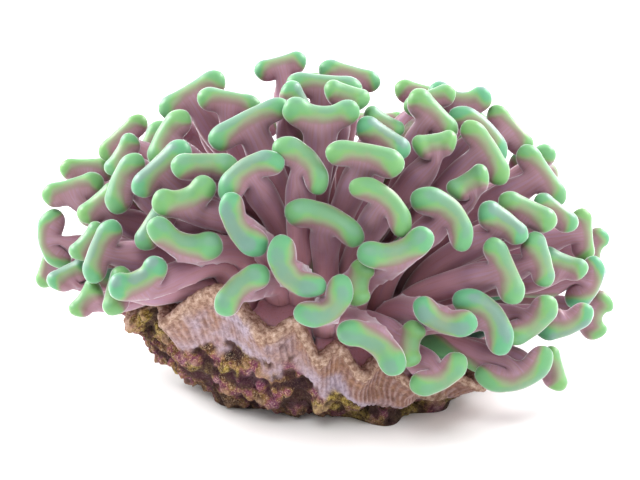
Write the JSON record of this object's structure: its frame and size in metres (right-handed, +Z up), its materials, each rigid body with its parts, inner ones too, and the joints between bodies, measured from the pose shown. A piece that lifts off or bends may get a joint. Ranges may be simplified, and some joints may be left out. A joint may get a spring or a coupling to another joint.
{
  "type": "hammer coral",
  "caption": "Hammer coral colony: a wavy, ridged stony skeleton under a dome of soft green and mauve hammer-headed tentacles, cut off flat to stand.",
  "frame": {"origin": "middle of the flat cut foot that the colony stands on", "axes": "+X along the colony, +Y towards its back, +Z up"},
  "size_m": [0.1634, 0.1221, 0.0943],
  "materials": {
    "coral_stone": "rough, ridged, crusted below",
    "polyp_flesh": "soft, smooth, moist satin"
  },
  "bodies": {
    "root": {"skeleton": "coral_stone", "polyp_01": "polyp_flesh", "polyp_02": "polyp_flesh", "polyp_03": "polyp_flesh", "polyp_04": "polyp_flesh", "polyp_05": "polyp_flesh", "polyp_06": "polyp_flesh", "polyp_07": "polyp_flesh", "polyp_08": "polyp_flesh", "polyp_09": "polyp_flesh", "polyp_10": "polyp_flesh", "polyp_11": "polyp_flesh", "polyp_12": "polyp_flesh", "polyp_13": "polyp_flesh"}
  },
  "joints": []
}
